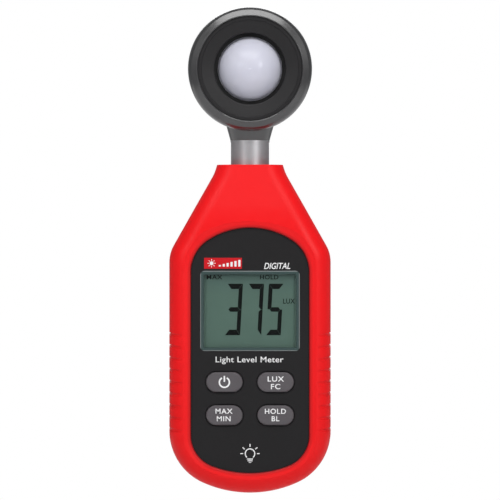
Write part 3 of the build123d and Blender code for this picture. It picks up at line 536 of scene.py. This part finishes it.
SUN_X, SUN_Z, SUN_RADIUS = -12.3, 37.25, 0.62
SUN_RAYS, RAY_START, RAY_END, RAY_WIDTH = 8, 0.85, 1.3, 0.2
LEVELS, LEVEL_X, LEVEL_PITCH, LEVEL_WIDTH = 6, -10.0, 1.25, 0.7
LEVEL_Z, LEVEL_HEIGHT, LEVEL_RISE = 36.2, 0.5, 0.32

badge_face = panel_face - PRINT_THICKNESS + PRINT_SUNK
sun = [disc(SUN_X, SUN_Z, SUN_RADIUS)]
for i in range(SUN_RAYS):
    sun.append(spoke(SUN_X, SUN_Z, RAY_START, RAY_END, RAY_WIDTH, 360 / SUN_RAYS * i))
for i in range(LEVELS):
    left = LEVEL_X + LEVEL_PITCH * i
    top = LEVEL_Z + LEVEL_HEIGHT + LEVEL_RISE * i
    sun.append(bar(left, LEVEL_Z, left + LEVEL_WIDTH, top))
flat_print("badge_sun", sun, badge_face, ink_white)

TYPE_BOX = (4.5, 35.4, 12.9, 37.4)
TITLE_BOX = (-11.0, 4.95, 10.7, 7.35)
lettering("panel_type", "DIGITAL", TYPE_BOX, panel_face, ink_white, shear=0.25, weight=0.01)
lettering("panel_title", "Light Level Meter", TITLE_BOX, panel_face, ink_white, weight=0.005,
          spacing=1.05)

BULB_Z, BULB_INNER, BULB_OUTER = -23.7, 1.35, 1.7
BULB_OPENS, BULB_CLOSES = -50, 230  # degrees
CAP_RINGS = ((0.95, -25.6, -25.25), (0.8, -26.15, -25.85), (0.4, -26.6, -26.4))
GLOW_ANGLES, GLOW_START, GLOW_END, GLOW_WIDTH = (0, 40, 90, 140, 180), 2.2, 3.1, 0.32

lamp = [arc_band(0, BULB_Z, BULB_INNER, BULB_OUTER, BULB_OPENS, BULB_CLOSES)]
lamp += [bar(-reach, foot, reach, top) for reach, foot, top in CAP_RINGS]
lamp += [spoke(0, BULB_Z, GLOW_START, GLOW_END, GLOW_WIDTH, a) for a in GLOW_ANGLES]
flat_print("panel_lamp_icon", lamp, panel_face, ink_white)

POWER_X, POWER_Z = -8.2, -0.8
POWER_INNER, POWER_OUTER, POWER_DROP = 1.35, 1.85, 0.05
POWER_STARTS, POWER_ENDS = 118, 422  # degrees; the gap is at the top
STROKE_HALF, STROKE_FOOT, STROKE_TOP = 0.25, 0.1, 2.0

key_face = face_of("key_power")
power = [
    arc_band(POWER_X, POWER_Z - POWER_DROP, POWER_INNER, POWER_OUTER, POWER_STARTS, POWER_ENDS),
    bar(POWER_X - STROKE_HALF, POWER_Z + STROKE_FOOT, POWER_X + STROKE_HALF, POWER_Z + STROKE_TOP),
]
flat_print("legend_power", power, key_face, ink_white, "key_power_body")
legends = {
    "units": ("LUX\nFC", (5.65, -3.05, 10.9, 1.05)),
    "max_min": ("MAX\nMIN", (-11.05, -13.3, -5.57, -9.27)),
    "hold": ("HOLD\nBL", (4.76, -13.3, 11.5, -9.3)),
}
for key, (text, box) in legends.items():
    lettering(f"legend_{key}", text, box, key_face, ink_white, f"key_{key}_body", weight=0.014,
              spacing=1.12)


# ---------------------------------------------------------------- display segments, in mm

LIT = {"3": "abgcd", "7": "abc", "5": "afgcd"}
READING = (("3", -8.06, 4.9), ("7", -1.3, 4.9), ("5", 5.15, 4.7))  # digit, left, width
DIGIT_FOOT, DIGIT_HEIGHT, DIGIT_LEAN = 14.2, 16.5, 0.055
UPRIGHT, TOP_BAR, MIDDLE_BAR, FOOT_BAR = 1.25, 1.7, 1.45, 1.75
GAP = 0.03


def seven_segments(digit, left, width):
    """Outlines of the lit segments of one leaning digit, mitred where two segments meet."""
    right, foot, top = left + width, DIGIT_FOOT, DIGIT_FOOT + DIGIT_HEIGHT
    inner_left, inner_right = left + UPRIGHT, right - UPRIGHT
    inner_top, inner_foot = top - TOP_BAR, foot + FOOT_BAR
    waist, half = foot + DIGIT_HEIGHT / 2, MIDDLE_BAR / 2
    tip_left, tip_right = left + UPRIGHT / 2, right - UPRIGHT / 2
    outlines = {
        "a": [(left + GAP, top), (right - GAP, top), (inner_right - GAP, inner_top),
              (inner_left + GAP, inner_top)],
        "b": [(right, top - GAP), (right, waist + GAP), (tip_right, waist + GAP),
              (inner_right, waist + half + GAP), (inner_right, inner_top - GAP)],
        "c": [(right, foot + GAP), (right, waist - GAP), (tip_right, waist - GAP),
              (inner_right, waist - half - GAP), (inner_right, inner_foot + GAP)],
        "d": [(left + GAP, foot), (right - GAP, foot), (inner_right - GAP, inner_foot),
              (inner_left + GAP, inner_foot)],
        "f": [(left, top - GAP), (left, waist + GAP), (tip_left, waist + GAP),
              (inner_left, waist + half + GAP), (inner_left, inner_top - GAP)],
        "g": [(tip_left + GAP, waist), (inner_left + GAP, waist + half),
              (inner_right - GAP, waist + half), (tip_right - GAP, waist),
              (inner_right - GAP, waist - half), (inner_left + GAP, waist - half)],
    }
    return [[(x + (z - foot) * DIGIT_LEAN, z) for x, z in outlines[key]] for key in LIT[digit]]


lcd_front = face_of("lcd_polarizer")
lit = []
for digit, left, width in READING:
    lit += seven_segments(digit, left, width)
flat_print("lcd_digits", lit, lcd_front, ink_lcd)
words = {
    "lcd_max": ("MAX", (-13.87, 32.1, -8.87, 33.5), 0.012, 1.1),
    "lcd_hold": ("HOLD", (3.2, 32.1, 9.1, 33.5), 0.016, 1.1),
    "lcd_lux": ("LUX", (10.6, 24.3, 14.4, 25.9), 0.012, 1.06),
}
for name, (text, box, weight, spacing) in words.items():
    lettering(name, text, box, lcd_front, ink_lcd, weight=weight, spacing=spacing)


# ---------------------------------------------------------------- floor, light and camera

AIM = (0, 0, 0.0415)
FLOOR_Z = -0.095  # below the battery door when it is slid right down
FLOOR_RADIUS = 0.8
FLOOR_SIDES = 96
FADE_START, FADE_END = 0.25, 0.75  # where the floor runs into the white backdrop

floor_mesh = bpy.data.meshes.new("floor")
angles = [2 * math.pi * i / FLOOR_SIDES for i in range(FLOOR_SIDES)]
ring = [(FLOOR_RADIUS * math.cos(a), FLOOR_RADIUS * math.sin(a), FLOOR_Z) for a in angles]
floor_mesh.from_pydata(ring, [], [tuple(range(FLOOR_SIDES))])
floor = bpy.data.objects.new("floor", floor_mesh)
bpy.context.scene.collection.objects.link(floor)

paper = Shader("floor_paper", Roughness=0.8, Specular_IOR_Level=0.1)
away = paper.node("VectorMath", {0: paper.place}, operation="LENGTH").outputs["Value"]
fade = paper.remap(away, FADE_START, FADE_END, 0.0, 1.0)
fibre = paper.noise(per_metre=30)
paper.drive("Base Color", paper.mix(fibre, srgb(236, 236, 238), srgb(242, 242, 243)))
glow = paper.node("Emission", {"Color": WHITE, "Strength": 1.0})
paper.show(paper.blend(fade, paper.bsdf.outputs[0], glow.outputs[0]))
floor_mesh.materials.append(paper.material)

FILL_COLOUR, FILL_STRENGTH = (0.95, 0.97, 1, 1), 0.24

# The camera sees white behind the floor, and the meter is lit by a weaker, cooler fill.
world = bpy.data.worlds.new("studio")
bpy.context.scene.world = world
world.use_nodes = True
sky = world.node_tree
sky.nodes.clear()
backdrop = sky.nodes.new("ShaderNodeBackground")
backdrop.inputs["Color"].default_value = WHITE
fill = sky.nodes.new("ShaderNodeBackground")
fill.inputs["Color"].default_value = FILL_COLOUR
fill.inputs["Strength"].default_value = FILL_STRENGTH
rays = sky.nodes.new("ShaderNodeLightPath")
either = sky.nodes.new("ShaderNodeMixShader")
sky_out = sky.nodes.new("ShaderNodeOutputWorld")
sky.links.new(rays.outputs["Is Camera Ray"], either.inputs[0])
sky.links.new(fill.outputs[0], either.inputs[1])
sky.links.new(backdrop.outputs[0], either.inputs[2])
sky.links.new(either.outputs[0], sky_out.inputs[0])

# name: azimuth and elevation in degrees, distance, width and height in metres, watts
SOFTBOXES = {
    "softbox_left": (-37, 17, 1.3, (0.16, 0.24), 1.9),
    "softbox_right": (37, 17, 1.3, (0.16, 0.24), 3.4),
    "softbox_top": (0, 53, 1.1, (1.1, 0.55), 8.4),
    "softbox_back": (180, 30, 1.4, (0.9, 0.7), 6),
}


def softbox(name, azimuth, elevation, distance, size, watts):
    """Rectangular area light aimed at the meter; azimuth 0 is in front, 90 to the right."""
    light = bpy.data.lights.new(name, "AREA")
    light.shape = "RECTANGLE"
    light.size, light.size_y = size
    light.energy = watts
    holder = bpy.data.objects.new(name, light)
    a, e = math.radians(azimuth), math.radians(elevation)
    outward = Vector((math.sin(a) * math.cos(e), -math.cos(a) * math.cos(e), math.sin(e)))
    holder.location = Vector(AIM) + outward * distance
    holder.rotation_mode = "QUATERNION"
    holder.rotation_quaternion = outward.to_track_quat("Z", "Y")
    bpy.context.scene.collection.objects.link(holder)


for name, setting in SOFTBOXES.items():
    softbox(name, *setting)

SENSOR_WIDTH, FOCAL_LENGTH = 36, 357  # mm
CAMERA_DISTANCE = 1.6
CLIP_NEAR, CLIP_FAR = 0.05, 20

camera_data = bpy.data.cameras.new("camera")
camera_data.sensor_width = SENSOR_WIDTH
camera_data.lens = FOCAL_LENGTH
camera_data.clip_start, camera_data.clip_end = CLIP_NEAR, CLIP_FAR
camera = bpy.data.objects.new("camera", camera_data)
camera.location = (AIM[0], AIM[1] - CAMERA_DISTANCE, AIM[2])
camera.rotation_euler = (math.radians(90), 0, 0)
bpy.context.scene.collection.objects.link(camera)
bpy.context.scene.camera = camera
bpy.context.scene.view_settings.view_transform = "Standard"
bpy.context.scene.view_settings.look = "None"
